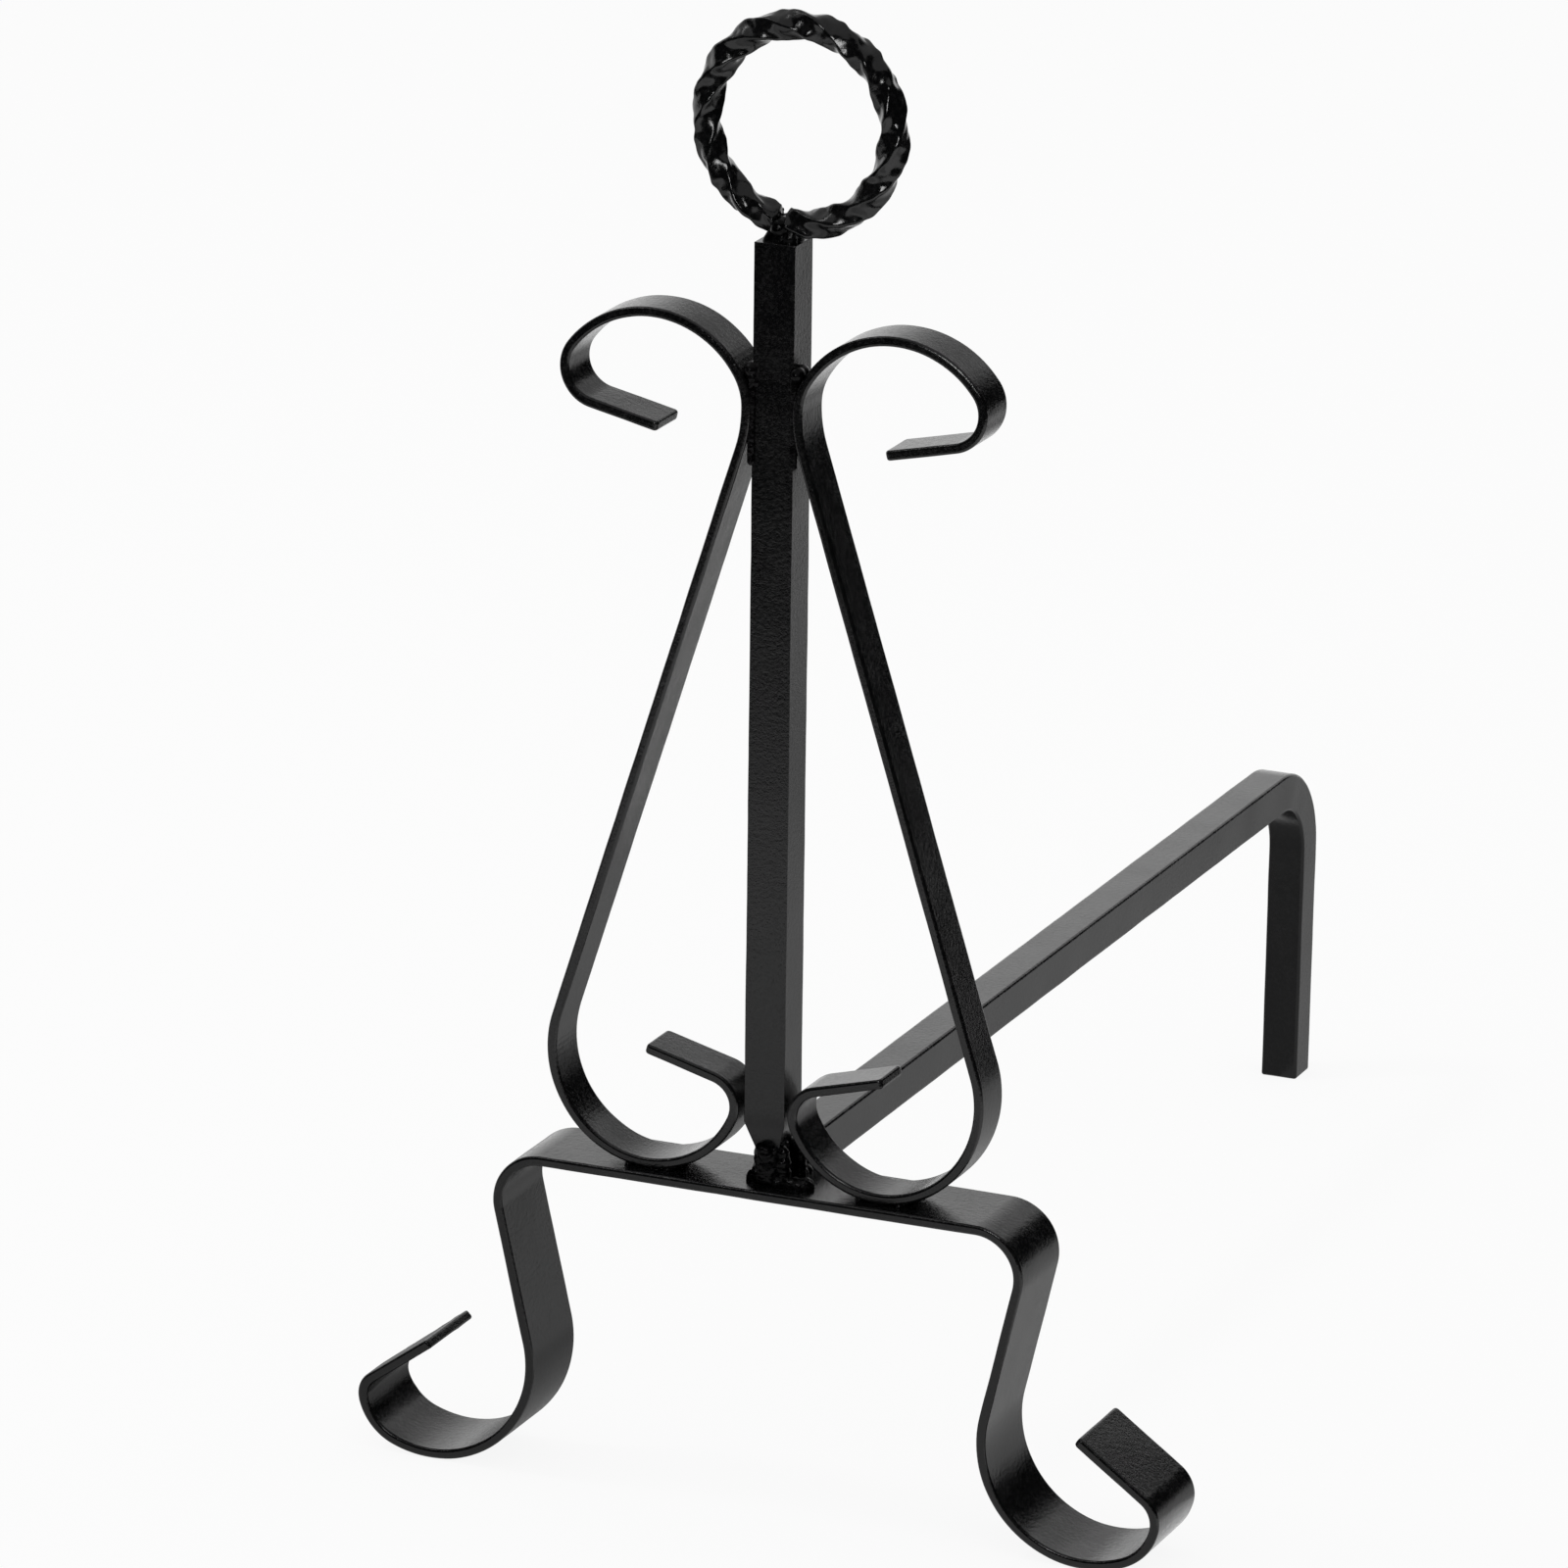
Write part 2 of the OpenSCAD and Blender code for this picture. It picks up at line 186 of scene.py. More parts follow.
class LogBarSizes(bpy.types.PropertyGroup):
    """Sizes of the log bar and the rear leg."""
    side: distance("Side", "Side of the square bar", (LOG_HIGH.x - LOG_LOW.x) / MM)
    run: distance("Run", "Straight run behind the upright", 511)
    bend_radius: distance("Bend radius", "Bend from the log bar into the rear leg", 32)
    bend_turn: turn("Bend turn", "Angle of that bend", 91)


class WeldSizes(bpy.types.PropertyGroup):
    """Sizes of the weld metal."""
    waist: distance("Waist bead", "Radius of the bead in the notch at the waist", 3.2)
    corner: distance("Corner bead", "Radius of the fillet down the upright's corner", 1.7)
    corner_length: distance("Corner length", "Length of the bead down the corner", 33)
    stand: distance("Stand bead", "Radius of the beads under the scrolls", 1.8)
    stand_gap: distance("Stand gap", "Distance between the two beads under a scroll", 16)
    mound: distance("Mound", "Radius of the weld round the upright's foot", 8.5)
    mound_height: distance("Mound height", "Height of the weld up the upright", 15.5)
    log_bead: distance("Log bar bead", "Radius of the bead beside the log bar", 2.8)
    neck_height: distance("Neck height", "Height of the ring's weld above the upright", 7)
    neck_lean: distance("Neck lean", "Lean of the ring's weld towards the ring", 1.5)
    ripple: share("Ripple", "Swell of a bead's ripples as a share of its radius", 0.1)


class SurfaceLook(bpy.types.PropertyGroup):
    """How the bars are finished: their edges, their unevenness and their paint."""
    edge: distance("Edge", "Rounding of the flat bars' edges", 1.1)
    square_edge: distance("Square edge", "Rounding of the upright's edges", 0.3)
    log_edge: distance("Log bar edge", "Rounding of the log bar's edges", 1.2)
    tip_corner: distance("Tip corner", "Rounding of the corners of the flat bars' ends", 1.8)
    waviness: distance("Waviness", "Depth of the slight unevenness of rolled bar", 0.3)
    wave_size: distance("Wave size", "Width of that unevenness", 22)
    weld_lumps: distance("Weld lumps", "Depth of the lumps in the weld metal", 1.1)
    lump_size: distance("Lump size", "Width of those lumps", 3.5)
    twist_lumps: distance("Twist lumps", "Depth of the dents in the twisted bar", 1.2)
    twist_lump_size: distance("Twist lump size", "Width of those dents", 4.5)
    paint: colour("Paint", "The black of the paint", (0.0018, 0.0019, 0.0021))
    worn_paint: colour("Worn paint", "Where the paint is dulled", (0.0060, 0.0060, 0.0063))
    weld_paint: colour("Weld paint", "The black of the welds' paint", (0.0006, 0.0006, 0.0007))
    gloss_low: share("Least roughness", "Roughness where the paint is glossiest", 0.12)
    gloss_high: share("Most roughness", "Roughness where the paint is dullest", 0.24)
    grain: share("Grain", "Strength of the paint's fine grain", 0.5)
    weld_grain: share("Weld grain", "Strength of the grain on the welds", 0.6)
    ring_grain: share("Ring grain", "Strength of the grain on the ring", 0.3)
    grain_size: distance("Grain size", "Width of the paint's grain", 1.6)
    grain_height: distance("Grain height", "Height of the paint's grain", 0.3)
    patch_size: distance("Patch size", "Width of the paint's duller places", 18)
    weld_sheen: share("Weld sheen", "Strength of the reflections on the welds", 0.12)


class StudioSetup(bpy.types.PropertyGroup):
    """The camera, the floor and the light."""
    azimuth: turn("Azimuth", "Camera's turn to the right of the front", 23.28)
    elevation: turn("Elevation", "Camera's angle above the horizon", 17.42)
    roll: turn("Roll", "Camera's turn about its own line of sight", 0.73)
    distance: distance("Distance", "From the camera to its target", 3817.8)
    target_x: FloatProperty(
        name="Target right", description="Camera's target, right of the upright",
        default=2.89 * MM, subtype="DISTANCE", unit="LENGTH",
    )
    target_z: distance("Target height", "Height of the camera's target", 284.29)
    lens: FloatProperty(
        name="Lens", description="Focal length in millimetres", default=236.8, min=1.0,
        subtype="DISTANCE_CAMERA", unit="CAMERA",
    )
    floor_radius: distance("Floor radius", "Radius of the studio floor", 6000)
    floor_colour: colour("Floor colour", "Colour of the studio floor", (0.86, 0.86, 0.86))
    floor_white: share("Floor white", "Share of plain white that is seen in the floor", 0.9)
    ambient: share("Ambient", "Strength of the light from all round", 0.72, 2.0)
    key_power: FloatProperty(
        name="Key power", description="Power of the large soft lamp", default=9.0, min=0.0,
        unit="POWER",
    )
    lamp_size: distance("Lamp size", "Width of the large soft lamp", 400)
    front_cards: distance("Front cards", "Distance of the dark cards in front", 1250)
    right_cards: distance("Right cards", "Distance of the dark cards on the right", 1100)
    far_right_cards: distance("Far right cards", "Distance of the dark cards behind those", 2400)
    card_height: distance("Card height", "Height of the dark cards", 1400)
    ceiling_radius: distance("Ceiling radius", "Radius of the grey card overhead", 2600)
    ceiling_height: distance("Ceiling height", "Height of the grey card overhead", 1500)
    ceiling_level: share("Ceiling level", "Brightness of the grey card overhead", 0.42, 2.0)
    # Painted shade: how much each dark sheet of painted floor shadow, seen only in reflections,
    # darkens the floor's reflection there
    front_painted_shade: share("Front gauze", "Cover of the dark gauze on the floor in front", 0.15)
    foot_painted_shade: share("Foot gauze", "Cover of the dark gauze right before the feet", 0.4)
    rear_painted_shade: share("Rear gauze", "Cover of the dark gauze on the left of the log bar", 0.7)
    right_painted_shade: share("Right gauze", "Cover of the dark gauze behind on the right", 0.5)
    strip_painted_shade: share("Gauze strip", "Cover of the narrow gauze on top of that one", 0.55)
    far_painted_shade: share("Far gauze", "Cover of the dark gauze farther back on the right", 0.3)
    spark: share("Spark card", "Brightness of the small card in front", 12.0, 40.0)
    spark_size: distance("Spark size", "Width of that card", 220)


def settings(name):
    """The property group of this name, as the sidebar shows it."""
    return getattr(bpy.context.scene, "andiron_" + name)


# ---------------------------------------------------------------- modelling helpers

def deselect_all():
    """Leaves edit mode, and selects nothing."""
    if bpy.context.object and bpy.context.object.mode != "OBJECT":
        bpy.ops.object.mode_set(mode="OBJECT")
    bpy.ops.object.select_all(action="DESELECT")


def turned_matrix(place, across, upward, forward):
    """A place with its own three directions as the columns of its turn."""
    turned = Matrix((across, upward, forward)).transposed().to_4x4()
    return Matrix.Translation(place) @ turned


def settle_place(piece):
    """Moves the piece's place, turn and size into its mesh."""
    bpy.ops.object.transform_apply(location=True, rotation=True, scale=True)
    return piece


def add_section(name, place, across, forward, size, cells):
    """A flat patch of cells, square to the way forward: the first face of a bar.

    across is the direction of the first size, and the second lies at right angles to both.
    """
    deselect_all()
    bpy.ops.mesh.primitive_grid_add(x_subdivisions=cells[0], y_subdivisions=cells[1], size=1)
    piece = bpy.context.object
    piece.name = name
    piece.data.name = name
    upward = forward.cross(across)
    piece.matrix_world = (
        turned_matrix(place, across, upward, forward)
        @ Matrix.Diagonal((size[0], size[1], 1, 1))
    )
    return settle_place(piece)


def start_shaping():
    """Edit mode with faces to select, and everything selected."""
    bpy.ops.object.mode_set(mode="EDIT")
    bpy.ops.mesh.select_mode(type="FACE")
    bpy.ops.mesh.select_all(action="SELECT")


def pick_faces(wanted):
    """Selects the faces for which wanted(centre, normal) is true."""
    mesh = bpy.context.edit_object.data
    shape = bmesh.from_edit_mesh(mesh)
    shape.normal_update()
    for face in shape.faces:
        face.select_set(bool(wanted(face.calc_center_median(), face.normal)))
    shape.select_flush_mode()
    bmesh.update_edit_mesh(mesh)


def pick_points(wanted):
    """Selects the vertices whose place suits."""
    piece = bpy.context.object
    bpy.ops.object.mode_set(mode="OBJECT")
    for vertex in piece.data.vertices:
        vertex.select = bool(wanted(vertex.co))
    bpy.ops.object.mode_set(mode="EDIT")


def draw_out(shift):
    """Extrudes the selected faces by this much."""
    bpy.ops.mesh.extrude_region_move(TRANSFORM_OT_translate={"value": shift})


def drop_corner(end, drop, width):
    """Pulls the back corner of a flat bar's end down, and what is near it less and less."""
    back = STRAP_HIGH.y - MM
    corner_reach = width * 0.6
    whole_reach = width * 1.1
    pick_points(lambda place: (place - end).length < corner_reach and place.y > back)
    bpy.ops.transform.translate(
        value=-Z_AXIS * drop, use_proportional_edit=True,
        proportional_edit_falloff="LINEAR", proportional_size=whole_reach,
        use_proportional_connected=True,
    )


class BarLine:
    """Draws a bar out along its middle line, from the selected faces, in runs and bends.

    The bends lie in the plane of ahead and left. A positive angle turns to the left.
    """

    def __init__(self, place, ahead, left, step, bend_step=SQUARE_BEND):
        self.place = Vector(place)
        self.ahead = Vector(ahead)
        self.left = Vector(left)
        self.step = step
        self.bend_step = bend_step

    def run(self, length):
        """Straight on for this length."""
        steps = max(1, round(length / self.step))
        for _ in range(steps):
            draw_out(self.ahead * (length / steps))
        self.place += self.ahead * length

    def bend(self, radius, angle):
        """Round a bend. Spin counts its angle clockwise about its axis."""
        side = math.copysign(1, angle)
        centre = self.place + self.left * (side * radius)
        axis = self.ahead.cross(self.left)
        bpy.ops.mesh.spin(
            steps=math.ceil(abs(angle) / self.bend_step), dupli=False,
            angle=-angle, center=centre, axis=axis,
        )
        turning = Matrix.Rotation(angle, 3, axis)
        self.place = centre + turning @ (self.place - centre)
        self.ahead = turning @ self.ahead
        self.left = turning @ self.left


def round_tip(line, width):
    """Rounds the corners of the end that a flat bar's line has just reached."""
    bpy.ops.mesh.select_mode(type="EDGE")
    mesh = bpy.context.edit_object.data
    shape = bmesh.from_edit_mesh(mesh)
    for edge in shape.edges:
        ends = [point.co - line.place for point in edge.verts]
        edge.select_set(all(
            abs(end.dot(line.ahead)) < CLOSE and abs(abs(end.y) - width / 2) < CLOSE
            for end in ends
        ))
    bmesh.update_edit_mesh(mesh)
    bpy.ops.mesh.bevel(offset=settings("look").tip_corner, segments=4, affect="EDGES")
    bpy.ops.mesh.select_mode(type="FACE")


def close_shape():
    """Merges doubles and turns every face outwards, then leaves edit mode."""
    bpy.ops.mesh.select_all(action="SELECT")
    bpy.ops.mesh.remove_doubles(threshold=1e-6)
    bpy.ops.mesh.normals_make_consistent(inside=False)
    bpy.ops.object.mode_set(mode="OBJECT")


def add_modifier(piece, kind, **values):
    """Adds a modifier to the piece and gives it these values."""
    bpy.context.view_layer.objects.active = piece
    bpy.ops.object.modifier_add(type=kind)
    modifier = piece.modifiers[-1]
    for name, value in values.items():
        setattr(modifier, name, value)


def apply_modifiers(piece):
    """Applies the piece's modifiers in their order."""
    bpy.context.view_layer.objects.active = piece
    for name in [modifier.name for modifier in piece.modifiers]:
        bpy.ops.object.modifier_apply(modifier=name)


def add_lumps(piece, name, size, depth, strength, level):
    """Moves the surface in and out in soft lumps. What is at this level stays in its place."""
    texture = bpy.data.textures.new(name, type="CLOUDS")
    texture.noise_scale = size
    texture.noise_depth = depth
    add_modifier(
        piece, "DISPLACE", texture=texture, strength=strength, mid_level=level,
        texture_coords="LOCAL",
    )


def finish_bar(piece, nodes, edge=0.0, twisted=False):
    """Rounds the bar's edges, makes its faces slightly uneven, and sets it in the frame.

    The twisted bar's edges are round already, and it is dented all over instead.
    """
    look = settings("look")
    if twisted:
        add_modifier(piece, "SUBSURF", levels=1, render_levels=1)
        add_lumps(piece, "twist_lumps", look.twist_lump_size, 0, look.twist_lumps, LUMP_LEVEL)
    else:
        add_modifier(
            piece, "BEVEL", width=edge or look.edge, segments=3, limit_method="ANGLE",
            angle_limit=math.radians(50),
        )
    add_lumps(piece, piece.name + "_waves", look.wave_size, 2, look.waviness, WAVE_LEVEL)
    add_modifier(piece, "WEIGHTED_NORMAL", keep_sharp=True, weight=60)
    bpy.ops.object.shade_smooth_by_angle(angle=math.radians(42))
    apply_modifiers(piece)
    place_in_frame(piece, nodes, "ring" if twisted else "bar")


def place_in_frame(piece, nodes, kind):
    """The piece stands in for its CAD nodes, which are hidden, rides on the andiron's one body,
    and is given the paint of its kind.
    """
    piece.data.materials.clear()
    piece.data.materials.append(paint_for(kind))
    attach(piece, BODY)
    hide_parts(*nodes)


def mirrored_copy(piece, name):
    """A copy with its own mesh, mirrored left to right, with its faces turned out again."""
    deselect_all()
    piece.select_set(True)
    bpy.context.view_layer.objects.active = piece
    bpy.ops.object.duplicate(linked=False)
    copy = bpy.context.object
    copy.name = name
    copy.data.name = name
    copy.scale.x = -1
    settle_place(copy)
    start_shaping()
    close_shape()
    return copy


# ---------------------------------------------------------------- the bars

def scroll_start(sizes, side):
    """Where the left scroll touches the upright, on its own middle line."""
    return Vector((-(side + sizes.thickness) / 2, AXIS_Y, sizes.waist))


def scroll_stand(sizes, side):
    """The scroll's side run, where it stands on the strap, and its rising bend's radius."""
    middle = -(side + sizes.thickness) / 2
    heel_start = -math.pi / 2 - sizes.spread
    heel_end = heel_start + sizes.heel_turn
    drop = sizes.waist - FOOT_TOP - sizes.thickness / 2
    drop -= sizes.hip_radius * math.sin(sizes.spread)
    drop -= sizes.heel_radius * (math.cos(heel_end) - math.cos(heel_start))
    drop -= sizes.roll_radius * (1 - math.cos(heel_end))
    side_run = drop / math.cos(sizes.spread)
    stand = middle - sizes.hip_radius * (1 - math.cos(sizes.spread))
    stand -= side_run * math.sin(sizes.spread)
    stand += sizes.heel_radius * (math.sin(heel_end) - math.sin(heel_start))
    stand -= sizes.roll_radius * math.sin(heel_end)
    eye_in = sizes.eye_radius * (1 - math.sin(sizes.rise_turn))
    rise_radius = (middle - sizes.curl_gap - stand - eye_in) / math.sin(sizes.rise_turn)
    return side_run, stand, heel_end, rise_radius


def model_scroll(name):
    """The left scroll, drawn out from the waist to the tip of each of its curls."""
    sizes = settings("scroll")
    side = settings("upright").side
    side_run, _, heel_end, rise_radius = scroll_stand(sizes, side)
    start = scroll_start(sizes, side)
    piece = add_section(
        name, start, -X_AXIS, Z_AXIS, (sizes.thickness, sizes.width), cells=(1, 5)
    )
    start_shaping()
    upward = BarLine(start, Z_AXIS, -X_AXIS, FLAT_STEP, FLAT_BEND)
    upward.bend(sizes.neck_radius, sizes.neck_turn)
    upward.bend(sizes.top_radius, sizes.top_turn)
    upward.bend(sizes.top_eye_radius, sizes.top_eye_turn)
    upward.run(sizes.top_tip)
    round_tip(upward, sizes.width)
    pick_faces(
        lambda centre, normal: abs(normal.z) > SQUARE_ON
        and (centre - start).length < sizes.width
    )
    downward = BarLine(start, -Z_AXIS, X_AXIS, FLAT_STEP, FLAT_BEND)
    downward.bend(sizes.hip_radius, -sizes.spread)
    downward.run(side_run)
    downward.bend(sizes.heel_radius, sizes.heel_turn)
    downward.bend(sizes.roll_radius, -heel_end)
    downward.bend(rise_radius, sizes.rise_turn)
    downward.bend(sizes.eye_radius, sizes.eye_turn)
    downward.run(sizes.bottom_tip)
    round_tip(downward, sizes.width)
    close_shape()
    return piece


def model_upright(name):
    """The square upright, from its drawn-in toe to its cut top."""
    sizes = settings("upright")
    start = Vector((0, AXIS_Y, FOOT_TOP))
    piece = add_section(name, start, X_AXIS, Z_AXIS, (sizes.toe, sizes.toe), cells=(4, 4))
    start_shaping()
    stages = 8
    width = sizes.toe
    for stage in range(1, stages + 1):
        part = stage / stages
        wider = sizes.toe + (sizes.side - sizes.toe) * part
        draw_out(Z_AXIS * (sizes.point_height / stages))
        height = FOOT_TOP + sizes.point_height * part
        bpy.ops.transform.resize(
            value=(wider / width, wider / width, 1), center_override=(0, AXIS_Y, height)
        )
        width = wider
    line = BarLine(start + Z_AXIS * sizes.point_height, Z_AXIS, X_AXIS, SQUARE_STEP)
    line.run(sizes.top - FOOT_TOP - sizes.point_height)
    close_shape()
    return piece


def model_ring(name):
    """The ring: a straight square bar is given its twist, bent round, and turned into place."""
    sizes = settings("ring")
    sweep = 2 * math.pi - sizes.gap
    length = sizes.radius * sweep
    twist = sizes.turns * sweep
    seam = math.asin(sizes.shift / sizes.radius)
    first_end = -math.pi / 2 - seam + sizes.gap / 2
    section_turn = -(sizes.phase - twist / 2)
    start = Vector((-length / 2, 0, 0))
    piece = add_section(name, start, Y_AXIS, X_AXIS, (sizes.bar, sizes.bar), cells=(2, 2))
    # The middles of the four faces are drawn in, and the four corners are rounded
    pick_points(lambda place: abs(abs(place.y) - abs(place.z)) > MM)
    bpy.ops.transform.resize(value=(1, sizes.hollow, sizes.hollow), center_override=start)
    pick_points(lambda place: abs(place.y * place.z) > MM ** 2)
    bpy.ops.mesh.bevel(offset=sizes.corner, segments=3, affect="VERTICES", offset_type="OFFSET")
    bpy.ops.mesh.select_all(action="SELECT")
    line = BarLine(start, X_AXIS, Y_AXIS, length / RING_STEPS)
    line.run(length)
    close_shape()
    piece.rotation_euler = (section_turn, 0, 0)
    settle_place(piece)
    add_modifier(piece, "SIMPLE_DEFORM", deform_method="TWIST", deform_axis="X", angle=twist)
    add_modifier(piece, "SIMPLE_DEFORM", deform_method="BEND", deform_axis="Z", angle=sweep)
    apply_modifiers(piece)
    centre = Vector((sizes.shift, AXIS_Y, sizes.height))
    middle = first_end + sweep / 2 + math.pi / 2
    piece.matrix_world = (
        Matrix.Translation(centre)
        @ Matrix.Rotation(math.pi / 2, 4, "X")
        @ Matrix.Rotation(middle, 4, "Z")
        @ Matrix.Translation((0, -sizes.radius, 0))
    )
    settle_place(piece)
    start_shaping()
    close_shape()
    return piece


def model_foot(name):
    """The foot strap, drawn out from its middle to both toes. The left toe is rolled in less."""
    sizes = settings("foot")
    back = (STRAP_LOW.y + STRAP_HIGH.y) / 2
    start = Vector((0, back, FOOT_TOP - sizes.thickness / 2))
    piece = add_section(
        name, start, -Z_AXIS, -X_AXIS, (sizes.thickness, sizes.width), cells=(1, 8)
    )
    start_shaping()
    over = sizes.ankle_turn - math.pi / 2
    bends = (sizes.ankle_radius + sizes.sole_radius) * (1 + math.sin(over))
    leg = (FOOT_TOP - sizes.thickness - bends) / math.cos(over)
    for hand, eye_turn in ((1, sizes.left_eye_turn), (-1, sizes.toe_eye_turn)):
        if hand == -1:
            pick_faces(
                lambda centre, normal: abs(normal.x) > SQUARE_ON and abs(centre.x) < MM
            )
        line = BarLine(start, -hand * X_AXIS, -Z_AXIS, FLAT_STEP, FLAT_BEND)
        line.run(sizes.span - sizes.ankle_radius)
        line.bend(sizes.ankle_radius, sizes.ankle_turn)
        line.run(leg)
        line.bend(sizes.sole_radius, -sizes.ankle_turn)
        line.bend(sizes.sole_radius, sizes.ankle_turn - sizes.sole_turn)
        line.bend(sizes.toe_radius, -sizes.toe_turn)
        line.bend(sizes.toe_eye_radius, -eye_turn)
        line.run(sizes.tip)
        if hand == 1:
            drop_corner(line.place, sizes.left_drop, sizes.width)
        else:
            round_tip(line, sizes.width)
    close_shape()
    return piece


def model_log_bar(name):
    """The log bar, notched over the strap, run back, bent down and cut off at the floor."""
    sizes = settings("log_bar")
    front = AXIS_Y + settings("upright").side / 2
    rear = STRAP_HIGH.y
    middle = LOG_HIGH.z - sizes.side / 2
    start = Vector((0, rear, middle))
    piece = add_section(name, start, Z_AXIS, Y_AXIS, (sizes.side, sizes.side), cells=(4, 4))
    start_shaping()
    line = BarLine(start, Y_AXIS, Z_AXIS, SQUARE_STEP)
    line.run(front + sizes.run - rear)
    line.bend(sizes.bend_radius, -sizes.bend_turn)
    past_floor = MM
    line.run(middle - sizes.bend_radius + past_floor)
    pick_faces(
        lambda centre, normal: abs(normal.y) > SQUARE_ON
        and abs(centre.y - rear) < MM and centre.z > FOOT_TOP
    )
    notch = BarLine(start, -Y_AXIS, Z_AXIS, FLAT_STEP)
    notch.run(rear - front)
    bpy.ops.mesh.select_all(action="SELECT")
    bpy.ops.mesh.bisect(plane_co=(0, 0, 0), plane_no=Z_AXIS, use_fill=True, clear_inner=True)
    close_shape()
    return piece


# ---------------------------------------------------------------- the weld metal

# A bead of weld: the corners of its section, the length of a step as a share of its radius,
# how blunt its ends are, and how fast its two ripples go from step to step
BEAD_CORNERS = 10
BEAD_STEP = 0.45
BEAD_BLUNTNESS = 0.06
FAST_RIPPLE, SLOW_RIPPLE = 2.4, 1.3

# The beads spilled beside the mound: where each starts, to the right and to the front as
# shares of the mound's radius and up in mm, its way and radius in mm, and its ripples' phase
MOUND_SPILLS = (
    (-0.75, 0.45, 1, (2, 1, 1), 2.8, 1),
    (0.6, 0.7, 1, (11, 1, 0), 3.4, 3),
    (0.8, 0.55, 3, (-1, 1, 9), 3.2, 5),
)


def lay_bead(start, end, radius, phase, evenness=0.0):
    """One bead of weld, swelling and shrinking along its length as it was laid."""
    ripple = settings("weld").ripple * (1 - evenness)
    ahead = (end - start).normalized()
    length = (end - start).length + 2 * radius
    across = ahead.orthogonal().normalized()
    first = start - ahead * radius
    deselect_all()
    bpy.ops.mesh.primitive_circle_add(
        vertices=BEAD_CORNERS, radius=radius, fill_type="NGON",
    )
    bead = bpy.context.object
    bead.matrix_world = turned_matrix(first, across, ahead.cross(across), ahead)
    settle_place(bead)
    start_shaping()
    steps = max(5, round(length / (BEAD_STEP * radius)))
    width = 1.0
    for step in range(steps + 1):
        along = step / steps * length
        to_end = min(along, length - along)
        rounding = math.sqrt(max(BEAD_BLUNTNESS, 1 - max(0.0, 1 - to_end / radius) ** 2))
        swell = 1 + ripple * math.sin(FAST_RIPPLE * step + phase)
        swell += 0.5 * ripple * math.sin(SLOW_RIPPLE * step)
        wanted = rounding * swell
        if step:
            draw_out(ahead * (length / steps))
        centre = first + ahead * along
        factor = wanted / width
        bpy.ops.transform.resize(value=(factor, factor, factor), center_override=centre)
        width = wanted
    close_shape()
    return bead


def join_beads(name, beads):
    """Several beads as one piece."""
    deselect_all()
    for bead in beads:
        bead.select_set(True)
    bpy.context.view_layer.objects.active = beads[0]
    if len(beads) > 1:
        bpy.ops.object.join()
    piece = bpy.context.object
    piece.name = name
    piece.data.name = name
    return piece


def finish_weld(piece, nodes, lumps):
    """Smooths the weld metal, gives it this share of the lumps, and sets it in the frame."""
    look = settings("look")
    add_modifier(piece, "SUBSURF", levels=2, render_levels=2)
    add_lumps(
        piece, piece.name + "_lumps", look.lump_size, 3, look.weld_lumps * lumps, LUMP_LEVEL
    )
    bpy.ops.object.shade_smooth()
    apply_modifiers(piece)
    place_in_frame(piece, nodes, "weld")


def waist_beads(name):
    """The weld in the notch over the waist, and the fillet down the upright's front corner."""
    weld = settings("weld")
    scroll = settings("scroll")
    half = settings("upright").side / 2
    sink = 0.6 * MM
    notch_gap = 2.2 * MM
    inset = 2 * MM
    lump_shift = Vector((-1.6, -1.2, 4.5)) * MM
    lump_length = 5 * MM
    corner_shift = 0.2 * MM
    corner_rise = 3 * MM
    reach = half - inset
    rise = math.sqrt(scroll.neck_radius ** 2 - (scroll.neck_radius - notch_gap) ** 2)
    height = scroll.waist + rise
    low = Vector((sink - half, AXIS_Y - reach, height))
    notch = lay_bead(low, low + Y_AXIS * (2 * reach), weld.waist, 1)
    higher = low + lump_shift
    lump = lay_bead(higher, higher + Y_AXIS * lump_length, weld.waist * 0.95, 2)
    top = Vector((
        -half - corner_shift, AXIS_Y - half + corner_shift, height + corner_rise
    ))
    corner = lay_bead(top, top - Z_AXIS * weld.corner_length, weld.corner, 4, evenness=1.0)
    return join_beads(name, [notch, lump, corner])


def stand_beads(name):
    """The two beads on which a scroll's bottom curl stands."""
    weld = settings("weld")
    scroll = settings("scroll")
    _, stand, _, _ = scroll_stand(scroll, settings("upright").side)
    reach = scroll.width / 2 - weld.stand
    beads = []
    for side in (-1, 1):
        x = stand + side * weld.stand_gap / 2
        beads.append(lay_bead(
            Vector((x, AXIS_Y - reach, FOOT_TOP)), Vector((x, AXIS_Y + reach, FOOT_TOP)),
            weld.stand, 2 + side,
        ))
    return join_beads(name, beads)


def log_bar_beads(name):
    """The bead along both sides of the log bar, up its front corners and over its top."""
    weld = settings("weld")
    half = settings("log_bar").side / 2
    front = AXIS_Y + settings("upright").side / 2
    from_back_edge = 2 * MM
    rear = STRAP_HIGH.y - from_back_edge
    top = LOG_HIGH.z
    thinner = weld.log_bead * 0.9
    beads = []
    for side in (-half, half):
        low = Vector((side, front, FOOT_TOP))
        beads.append(lay_bead(low, Vector((side, rear, FOOT_TOP)), weld.log_bead, 5))
        beads.append(lay_bead(low, Vector((side, front, top)), thinner, 7))
    over_top = Vector((-half, front, top)), Vector((half, front, top))
    beads.append(lay_bead(*over_top, thinner, 9))
    return join_beads(name, beads)


